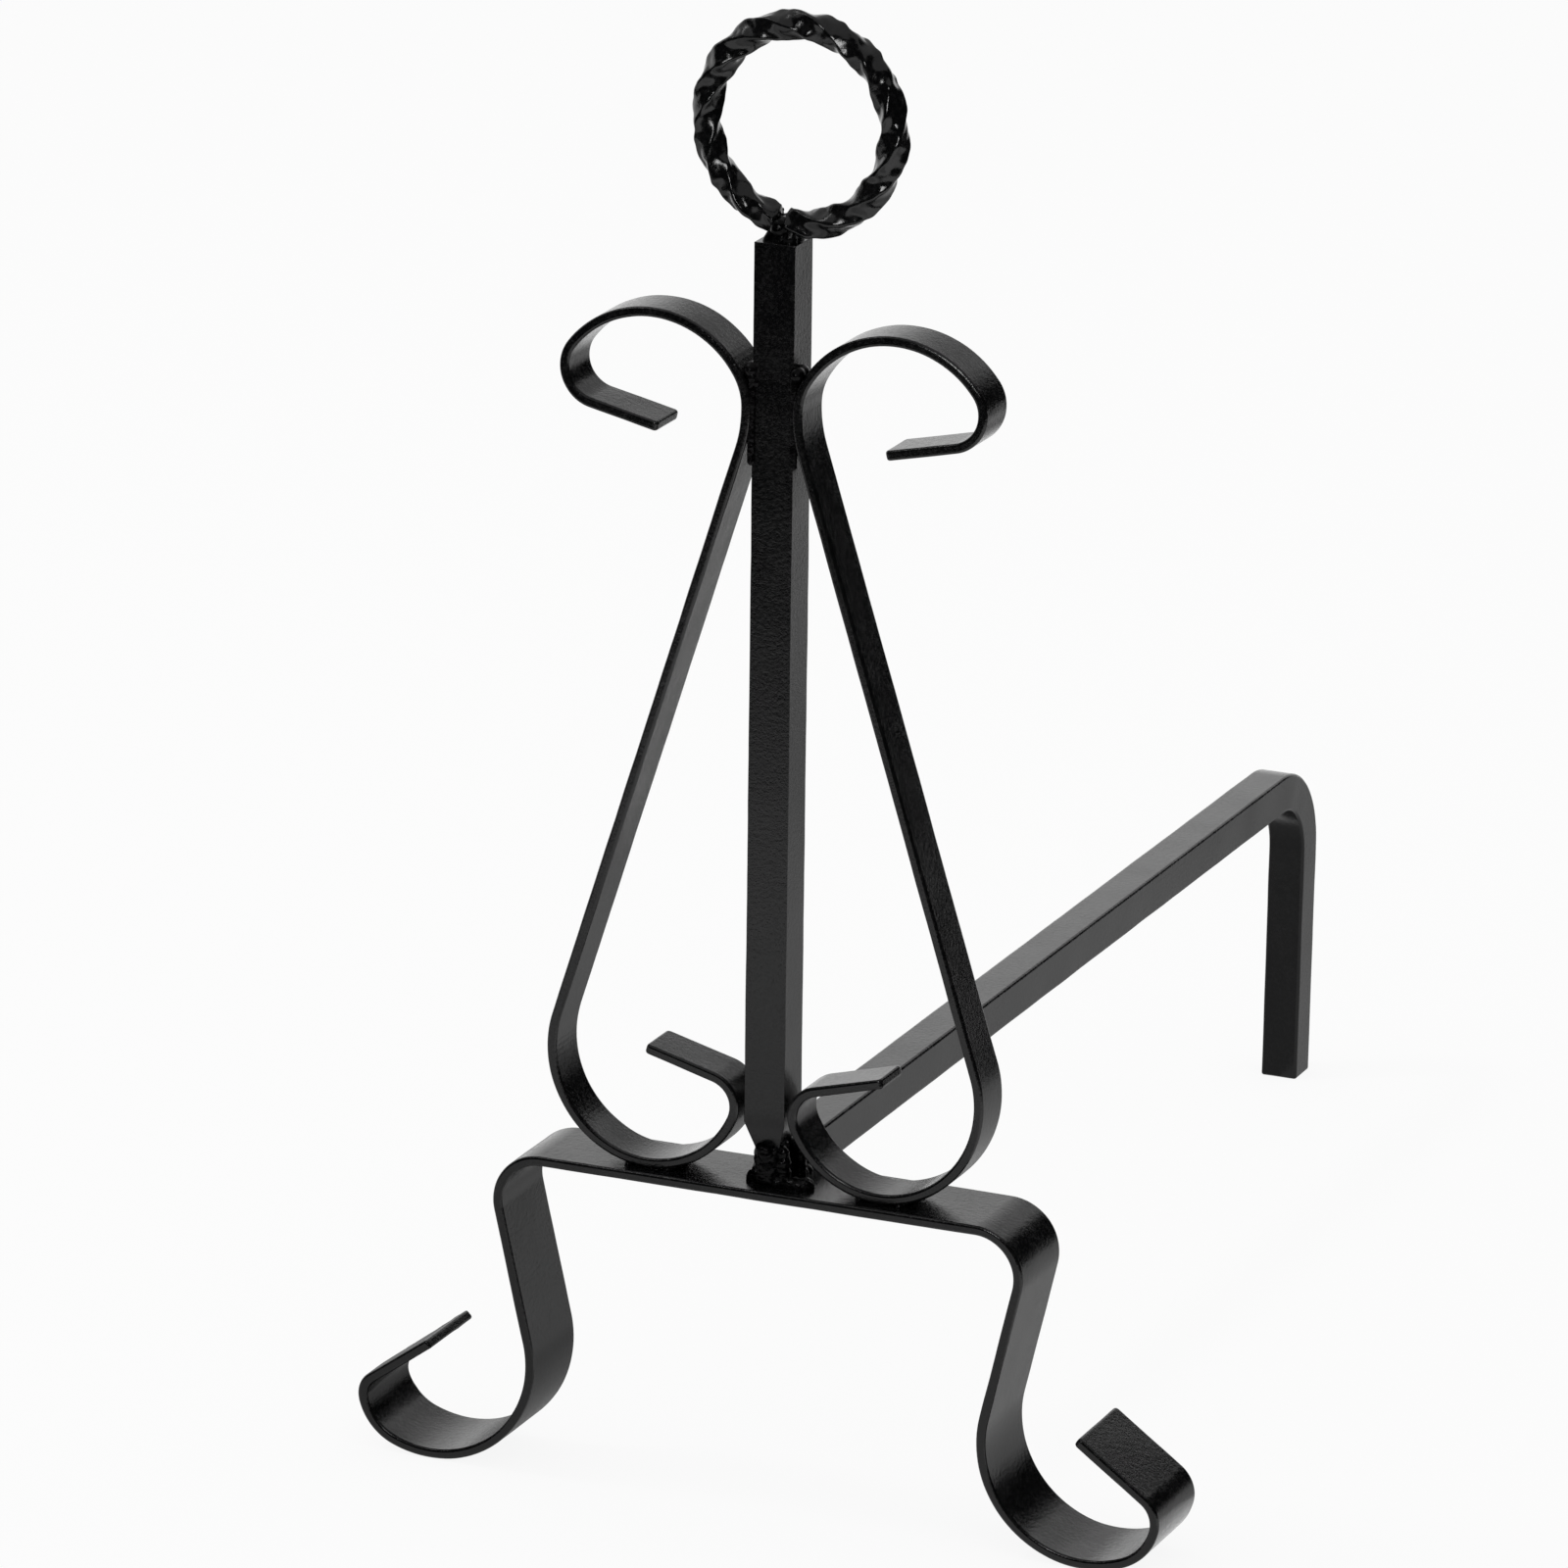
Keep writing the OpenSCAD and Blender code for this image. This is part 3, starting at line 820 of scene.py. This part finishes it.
def foot_mound(name):
    """The rough weld round the upright's drawn-in end, spread out on the strap."""
    weld = settings("weld")
    steps = 7
    depth = 1.14
    top_width = 0.72
    # It narrows fastest near the strap, and far more in its width than in its depth
    quickness = 2.2
    depth_share = 0.2
    deselect_all()
    bpy.ops.mesh.primitive_circle_add(
        vertices=16, radius=weld.mound, fill_type="NGON", location=(0, AXIS_Y, FOOT_TOP),
    )
    mound = settle_place(bpy.context.object)
    start_shaping()
    bpy.ops.transform.resize(value=(1, depth, 1), center_override=(0, AXIS_Y, FOOT_TOP))
    width = 1.0
    for step in range(1, steps + 1):
        part = step / steps
        wanted = top_width + (1 - top_width) * (1 - part) ** quickness
        draw_out(Z_AXIS * (weld.mound_height / steps))
        factor = wanted / width
        height = FOOT_TOP + weld.mound_height * part
        bpy.ops.transform.resize(
            value=(factor, factor ** depth_share, 1), center_override=(0, AXIS_Y, height)
        )
        width = wanted
    close_shape()
    beads = [mound]
    for right, front, up, way, radius, phase in MOUND_SPILLS:
        start = Vector((weld.mound * right, AXIS_Y - weld.mound * front, FOOT_TOP + up * MM))
        beads.append(lay_bead(start, start + Vector(way) * MM, radius * MM, phase))
    return join_beads(name, beads)


def ring_neck(name):
    """The neck of weld between the top of the upright and the ring, and into the ring's gap."""
    weld = settings("weld")
    upright = settings("upright")
    foot = upright.side - 2.4 * MM
    sink = MM
    gap_height = 5 * MM
    gap_reach = Y_AXIS * (3 * MM)
    gap_bead = 4.2 * MM
    start = Vector((0, AXIS_Y, upright.top - sink))
    neck = add_section(name, start, X_AXIS, Z_AXIS, (foot, foot), cells=(3, 3))
    start_shaping()
    steps = 5
    narrowing = 0.3
    quickness = 0.8
    depth_share = 1.6
    rise = (weld.neck_height + sink) / steps
    width = 1.0
    for step in range(1, steps + 1):
        part = step / steps
        draw_out(Z_AXIS * rise + X_AXIS * (weld.neck_lean * part / 3))
        wanted = 1 - narrowing * part ** quickness
        factor = wanted / width
        bpy.ops.transform.resize(
            value=(factor, factor ** depth_share, 1),
            center_override=(weld.neck_lean * part, AXIS_Y, upright.top),
        )
        width = wanted
    close_shape()
    gap = Vector((0, AXIS_Y, upright.top + gap_height))
    fill = lay_bead(gap - gap_reach, gap + gap_reach, gap_bead, 6)
    return join_beads(name, [neck, fill])


# ---------------------------------------------------------------- the paint

WHITE = (1, 1, 1, 1)
BLACK = (0, 0, 0, 1)


class Wire:
    """A socket's value, on which sums are written as they are on paper."""

    def __init__(self, recipe, socket):
        self.recipe = recipe
        self.socket = socket

    def _sum(self, operation, first, second):
        node = self.recipe.node("ShaderNodeMath", {"operation": operation}, {0: first, 1: second})
        return Wire(self.recipe, node.outputs[0])

    def __add__(self, other):
        return self._sum("ADD", self, other)

    def __radd__(self, other):
        return self._sum("ADD", other, self)

    def __sub__(self, other):
        return self._sum("SUBTRACT", self, other)

    def __rsub__(self, other):
        return self._sum("SUBTRACT", other, self)

    def __mul__(self, other):
        return self._sum("MULTIPLY", self, other)

    def __rmul__(self, other):
        return self._sum("MULTIPLY", other, self)


class Recipe:
    """Builds one material's or the world's nodes."""

    def __init__(self, owner):
        owner.use_nodes = True
        self.owner = owner
        self.tree = owner.node_tree
        self.tree.nodes.clear()

    def node(self, kind, options=None, values=None):
        """A node of this kind. Its options are set first, then its sockets' values or links."""
        node = self.tree.nodes.new(kind)
        for name, option in (options or {}).items():
            setattr(node, name, option)
        for name, value in (values or {}).items():
            socket = node.inputs[name]
            if isinstance(value, Wire):
                value = value.socket
            if isinstance(value, bpy.types.NodeSocket):
                self.tree.links.new(value, socket)
            else:
                socket.default_value = value
        return node

    def noise(self, place, size, detail, roughness=0.55):
        """Soft random lumps of about this size in metres, from 0 to 1."""
        node = self.node(
            "ShaderNodeTexNoise", {},
            {"Vector": place, "Scale": 1 / size, "Detail": detail, "Roughness": roughness},
        )
        return Wire(self, node.outputs["Fac"])

    def spread(self, wire, low, high, shade_low=0.0, shade_high=1.0):
        """Spreads what lies between low and high over the two shades."""
        node = self.node(
            "ShaderNodeMapRange", {"interpolation_type": "SMOOTHSTEP"},
            {"Value": wire, "From Min": low, "From Max": high, "To Min": shade_low,
             "To Max": shade_high},
        )
        return Wire(self, node.outputs[0])

    def mix(self, factor, first, second):
        """One colour turning into another."""
        node = self.node(
            "ShaderNodeMix", {"data_type": "RGBA"},
            {"Factor": factor, 6: first, 7: second},
        )
        return node.outputs[2]

    def glow(self, shade, level=1.0):
        """Even light of this colour and strength."""
        return self.node("ShaderNodeEmission", {}, {"Color": shade, "Strength": level})

    def blend(self, factor, first, second):
        """One shader turning into another."""
        return self.node(
            "ShaderNodeMixShader", {}, {0: factor, 1: first.outputs[0], 2: second.outputs[0]},
        )

    def end(self, shader, kind="Material"):
        """Makes this shader the result, and gives back what the recipe is of."""
        self.node("ShaderNodeOutput" + kind, {}, {"Surface": shader.outputs[0]})
        return self.owner


def rgba(shade):
    """A colour property as the four numbers a socket takes."""
    return (*shade, 1.0)


def brushed_paint(name, base, grain, lump_weight=0.0, sheen=0.5):
    """Black gloss paint, with the grain of the steel under it and duller, rubbed places."""
    look = settings("look")
    patch_share = 0.35
    patch_edges = (0.42, 0.68)
    grain_edges = (0.45, 0.62)
    grit_share = 0.3
    grit_size = look.grain_size * 0.32
    recipe = Recipe(bpy.data.materials.new(name))
    place = recipe.node("ShaderNodeTexCoord").outputs["Object"]
    patches = recipe.spread(recipe.noise(place, look.patch_size, 4.0), *patch_edges)
    fine = recipe.noise(place, look.grain_size, 4.0, 0.65)
    grit = recipe.noise(place, grit_size, 2.0)
    dull = patches * patch_share + recipe.spread(fine, *grain_edges) * (1 - patch_share)
    shade = recipe.mix(dull, rgba(base), rgba(look.worn_paint))
    roughness = recipe.spread(dull, 0.0, 1.0, look.gloss_low, look.gloss_high)
    relief = fine * (1 - grit_share) + grit * grit_share
    if lump_weight:
        relief = relief + recipe.noise(place, look.lump_size, 2.0) * lump_weight
    bump = recipe.node(
        "ShaderNodeBump", {},
        {"Strength": grain, "Distance": look.grain_height, "Height": relief},
    )
    shader = recipe.node(
        "ShaderNodeBsdfPrincipled", {},
        {
            "Base Color": shade, "Roughness": roughness, "Normal": bump.outputs[0],
            "Specular IOR Level": sheen,
        },
    )
    return recipe.end(shader)


def paint_for(kind):
    """The paint of the bars, of the twisted bar or of the welds, made once."""
    look = settings("look")
    name = kind + "_black"
    if name in bpy.data.materials:
        return bpy.data.materials[name]
    if kind == "weld":
        return brushed_paint(
            name, look.weld_paint, look.weld_grain, lump_weight=1.5, sheen=look.weld_sheen
        )
    if kind == "ring":
        return brushed_paint(name, look.paint, look.ring_grain)
    return brushed_paint(name, look.paint, look.grain)


# ---------------------------------------------------------------- the studio

# Places are in mm: to the right of the andiron, behind it, and up
LAMP_PLACE, LAMP_AIM = (-1300, -500, 2300), (0, -100, 250)
SPARK_PLACE, SPARK_AIM = (130, -1050, 740), (0, -270, 450)

# The compass directions, in degrees, from which and to which each curved card stands
CARD_BANDS = {
    "right_cards": (32, 97),
    "far_right_cards": (15, 35),
    "front_cards": (95, 250),
}
CARD_LEVEL = 0.01

# Painted shadow on the floor, seen only in reflections: the middle and the size of each dark
# sheet that stands in for the floor's shade, in mm
PAINTED_FLOOR_SHADES = {
    "front_painted_shade": ((-600, -770, 0.5), (1200, 980)),
    "foot_painted_shade": ((-400, -495, 1), (1200, 420)),
    "rear_painted_shade": ((-600, 0, 0.5), (1200, 540)),
    "right_painted_shade": ((700, 275, 0.5), (1400, 950)),
    "strip_painted_shade": ((350, 615, 1), (340, 150)),
    "far_painted_shade": ((700, 1325, 0.5), (1400, 1150)),
}


def seen_white(recipe):
    """1 for what the camera, a reflection or a pane of glass sees, and 0 for light."""
    path = recipe.node("ShaderNodeLightPath").outputs
    seen = Wire(recipe, path["Is Camera Ray"]) + path["Is Glossy Ray"]
    seen = seen + path["Is Transmission Ray"]
    least = recipe.node("ShaderNodeMath", {"operation": "MINIMUM"}, {0: seen, 1: 1.0})
    return Wire(recipe, least.outputs[0])


def light_world(studio):
    """A white room, which lights the andiron evenly."""
    world = bpy.data.worlds.new("white_room")
    bpy.context.scene.world = world
    recipe = Recipe(world)
    level = recipe.spread(seen_white(recipe), 0.0, 1.0, studio.ambient, 1.0)
    background = recipe.node(
        "ShaderNodeBackground", {}, {"Color": WHITE, "Strength": level},
    )
    recipe.end(background, "World")


def floor_material(studio):
    """A pale floor, seen nearly white, that still takes the andiron's shadow."""
    recipe = Recipe(bpy.data.materials.new("pale_floor"))
    seen = seen_white(recipe) * studio.floor_white
    matt = recipe.node("ShaderNodeBsdfDiffuse", {}, {"Color": rgba(studio.floor_colour)})
    return recipe.end(recipe.blend(seen, matt, recipe.glow(WHITE)))


def card_material(name, level):
    """A studio card of one even brightness."""
    recipe = Recipe(bpy.data.materials.new(name))
    return recipe.end(recipe.glow(WHITE, level))


def painted_shade_material(cover):
    """Painted shade: a dark sheet that darkens the floor's reflection by its cover and lets the
    rest of the light through.
    """
    recipe = Recipe(bpy.data.materials.new("floor_shade_sheet"))
    clear = recipe.node("ShaderNodeBsdfTransparent")
    return recipe.end(recipe.blend(cover, clear, recipe.glow(BLACK)))


def only_in_reflections(card, material):
    """A card that shades reflections alone, as a photographer's flag does."""
    card.data.materials.append(material)
    card.visible_camera = False
    card.visible_diffuse = False
    card.visible_shadow = False
    card.visible_transmission = False


def add_disc(name, radius, height, corners):
    """A wide level disc, centred on the andiron."""
    deselect_all()
    bpy.ops.mesh.primitive_circle_add(
        vertices=corners, radius=radius, fill_type="NGON", location=(0, 0, height),
    )
    disc = bpy.context.object
    disc.name = name
    return settle_place(disc)


def add_floor(studio):
    """The studio floor, under the andiron."""
    floor = add_disc("studio_floor", studio.floor_radius, 0, 96)
    floor.data.materials.append(floor_material(studio))


def compass(degrees, radius, height):
    """A place round the andiron: 0 is behind it, and 90 to its right."""
    angle = math.radians(degrees)
    return Vector((radius * math.sin(angle), radius * math.cos(angle), height))


def add_cards_band(name, first, last, radius, height):
    """A curved dark card from one compass direction to another, standing on the floor."""
    degrees_a_step = 5
    start_width = 10 * MM
    start = compass(first, radius, height / 2)
    toward = compass(first, 1, 0)
    deselect_all()
    bpy.ops.mesh.primitive_plane_add(size=1)
    cards = bpy.context.object
    cards.name = name
    cards.matrix_world = (
        turned_matrix(start, Z_AXIS, toward, Z_AXIS.cross(toward))
        @ Matrix.Diagonal((height, start_width, 1, 1))
    )
    settle_place(cards)
    start_shaping()
    bpy.ops.mesh.spin(
        steps=(last - first) // degrees_a_step, dupli=False,
        angle=math.radians(last - first), center=(0, 0, 0), axis=Z_AXIS,
    )
    close_shape()
    only_in_reflections(cards, card_material(name + "_face", CARD_LEVEL))


def add_cards(studio):
    """The curved dark cards, and the grey card overhead."""
    for name, (first, last) in CARD_BANDS.items():
        add_cards_band(name, first, last, getattr(studio, name), studio.card_height)
    ceiling = add_disc("grey_card", studio.ceiling_radius, studio.ceiling_height, 48)
    only_in_reflections(ceiling, card_material("grey_card", studio.ceiling_level))


def add_spark(studio):
    """A small bright card in front, for the glints on the twisted bar and the welds."""
    deselect_all()
    bpy.ops.mesh.primitive_plane_add(size=studio.spark_size)
    spark = bpy.context.object
    spark.name = "spark_card"
    place, aim = Vector(SPARK_PLACE) * MM, Vector(SPARK_AIM) * MM
    sight = (aim - place).normalized()
    across = sight.cross(Z_AXIS).normalized()
    spark.matrix_world = turned_matrix(place, across, across.cross(sight), -sight)
    settle_place(spark)
    only_in_reflections(spark, card_material("spark_card", studio.spark))


def add_painted_floor_shades(studio):
    """Painted shadow on the floor: dark sheets, seen only in reflections, which grey what is
    reflected from there.
    """
    for name, (middle, size) in PAINTED_FLOOR_SHADES.items():
        deselect_all()
        bpy.ops.mesh.primitive_plane_add(size=1, location=Vector(middle) * MM)
        gauze = bpy.context.object
        gauze.name = name
        gauze.scale = (size[0] * MM, size[1] * MM, 1)
        settle_place(gauze)
        only_in_reflections(gauze, painted_shade_material(getattr(studio, name)))


def add_key(studio):
    """One soft lamp, high up on the andiron's left."""
    deselect_all()
    place, aim = Vector(LAMP_PLACE) * MM, Vector(LAMP_AIM) * MM
    bpy.ops.object.light_add(type="AREA", location=place)
    lamp = bpy.context.object
    lamp.name = "soft_lamp"
    lamp.data.shape = "DISK"
    lamp.data.size = studio.lamp_size
    lamp.data.energy = studio.key_power
    lamp.rotation_euler = (aim - place).to_track_quat("-Z", "Y").to_euler()


def add_camera(studio):
    """The camera, at the photograph's angle."""
    azimuth, elevation = studio.azimuth, studio.elevation
    sight = Vector((
        -math.sin(azimuth) * math.cos(elevation),
        math.cos(azimuth) * math.cos(elevation),
        -math.sin(elevation),
    ))
    level = Vector((math.cos(azimuth), math.sin(azimuth), 0))
    upward = level.cross(sight)
    across = level * math.cos(studio.roll) + upward * math.sin(studio.roll)
    upward = upward * math.cos(studio.roll) - level * math.sin(studio.roll)
    target = Vector((studio.target_x, AXIS_Y, studio.target_z))
    deselect_all()
    bpy.ops.object.camera_add()
    camera = bpy.context.object
    camera.name = "photo_camera"
    camera.matrix_world = turned_matrix(
        target - sight * studio.distance, across, upward, -sight
    )
    camera.data.lens = studio.lens
    camera.data.sensor_width = 36
    camera.data.sensor_fit = "HORIZONTAL"
    camera.data.clip_start = 0.01
    camera.data.clip_end = 100
    bpy.context.scene.camera = camera


# ---------------------------------------------------------------- operators

class ANDIRON_OT_upright(bpy.types.Operator):
    """Model the square upright"""
    bl_idname = "andiron.upright"
    bl_label = "Upright"

    def execute(self, context):
        finish_bar(model_upright("upright_bar"), ["upright"], settings("look").square_edge)
        return {"FINISHED"}


class ANDIRON_OT_ring(bpy.types.Operator):
    """Model the twisted ring"""
    bl_idname = "andiron.ring"
    bl_label = "Twisted ring"

    def execute(self, context):
        finish_bar(model_ring("ring_bar"), ["ring"], twisted=True)
        return {"FINISHED"}


class ANDIRON_OT_scrolls(bpy.types.Operator):
    """Model the pair of scrolls"""
    bl_idname = "andiron.scrolls"
    bl_label = "Scrolls"

    def execute(self, context):
        left = model_scroll("left_scroll_bar")
        right = mirrored_copy(left, "right_scroll_bar")
        finish_bar(left, ["left_scroll"])
        finish_bar(right, ["right_scroll"])
        return {"FINISHED"}


class ANDIRON_OT_foot(bpy.types.Operator):
    """Model the foot strap with its rolled feet"""
    bl_idname = "andiron.foot"
    bl_label = "Foot strap"

    def execute(self, context):
        finish_bar(model_foot("foot_bar"), ["foot_strap"])
        return {"FINISHED"}


class ANDIRON_OT_log_bar(bpy.types.Operator):
    """Model the log bar and the rear leg"""
    bl_idname = "andiron.log_bar"
    bl_label = "Log bar"

    def execute(self, context):
        finish_bar(model_log_bar("log_rest_bar"), ["log_bar"], settings("look").log_edge)
        return {"FINISHED"}


class ANDIRON_OT_welds(bpy.types.Operator):
    """Lay the weld beads that join the bars"""
    bl_idname = "andiron.welds"
    bl_label = "Welds"

    def execute(self, context):
        for make, node in ((waist_beads, "waist_weld"), (stand_beads, "stand_weld")):
            left = make("left_" + node + "_bead")
            right = mirrored_copy(left, "right_" + node + "_bead")
            finish_weld(left, ["left_" + node], lumps=0.6)
            finish_weld(right, ["right_" + node], lumps=0.6)
        finish_weld(log_bar_beads("log_bar_weld_bead"), ["log_bar_weld"], lumps=0.6)
        finish_weld(foot_mound("upright_weld_mound"), ["upright_weld"], lumps=1.6)
        finish_weld(ring_neck("ring_weld_neck"), ["ring_weld"], lumps=0.8)
        return {"FINISHED"}


class ANDIRON_OT_studio(bpy.types.Operator):
    """Set up the floor, the light and the camera"""
    bl_idname = "andiron.studio"
    bl_label = "Studio"

    def execute(self, context):
        studio = settings("studio")
        light_world(studio)
        add_floor(studio)
        add_cards(studio)
        add_spark(studio)
        add_painted_floor_shades(studio)
        add_key(studio)
        add_camera(studio)
        context.scene.view_settings.view_transform = "Standard"
        return {"FINISHED"}


class ANDIRON_PT_panel(bpy.types.Panel):
    """Sizes, colours and steps of the andiron."""
    bl_label = "Andiron"
    bl_idname = "ANDIRON_PT_panel"
    bl_space_type = "VIEW_3D"
    bl_region_type = "UI"
    bl_category = "Andiron"

    def draw(self, context):
        layout = self.layout
        for operator in OPERATORS:
            layout.operator(operator.bl_idname)
        for name in GROUPS:
            group = getattr(context.scene, "andiron_" + name)
            box = layout.box()
            box.label(text=name.replace("_", " ").capitalize())
            for key in group.__annotations__:
                box.prop(group, key)


GROUPS = {
    "upright": UprightSizes,
    "ring": RingSizes,
    "scroll": ScrollSizes,
    "foot": FootSizes,
    "log_bar": LogBarSizes,
    "weld": WeldSizes,
    "look": SurfaceLook,
    "studio": StudioSetup,
}
OPERATORS = (
    ANDIRON_OT_upright,
    ANDIRON_OT_ring,
    ANDIRON_OT_scrolls,
    ANDIRON_OT_foot,
    ANDIRON_OT_log_bar,
    ANDIRON_OT_welds,
    ANDIRON_OT_studio,
)


def register():
    """Makes the classes and the scene's settings known to Blender."""
    for name, group in GROUPS.items():
        bpy.utils.register_class(group)
        setattr(bpy.types.Scene, "andiron_" + name, PointerProperty(type=group))
    for cls in OPERATORS + (ANDIRON_PT_panel,):
        bpy.utils.register_class(cls)


def unregister():
    """Takes them away again."""
    for cls in reversed(OPERATORS + (ANDIRON_PT_panel,)):
        bpy.utils.unregister_class(cls)
    for name, group in reversed(GROUPS.items()):
        delattr(bpy.types.Scene, "andiron_" + name)
        bpy.utils.unregister_class(group)


def main():
    """Makes the whole andiron and its studio."""
    register()
    bpy.ops.andiron.upright()
    bpy.ops.andiron.ring()
    bpy.ops.andiron.scrolls()
    bpy.ops.andiron.foot()
    bpy.ops.andiron.log_bar()
    bpy.ops.andiron.welds()
    bpy.ops.andiron.studio()


if __name__ == "__main__":
    main()
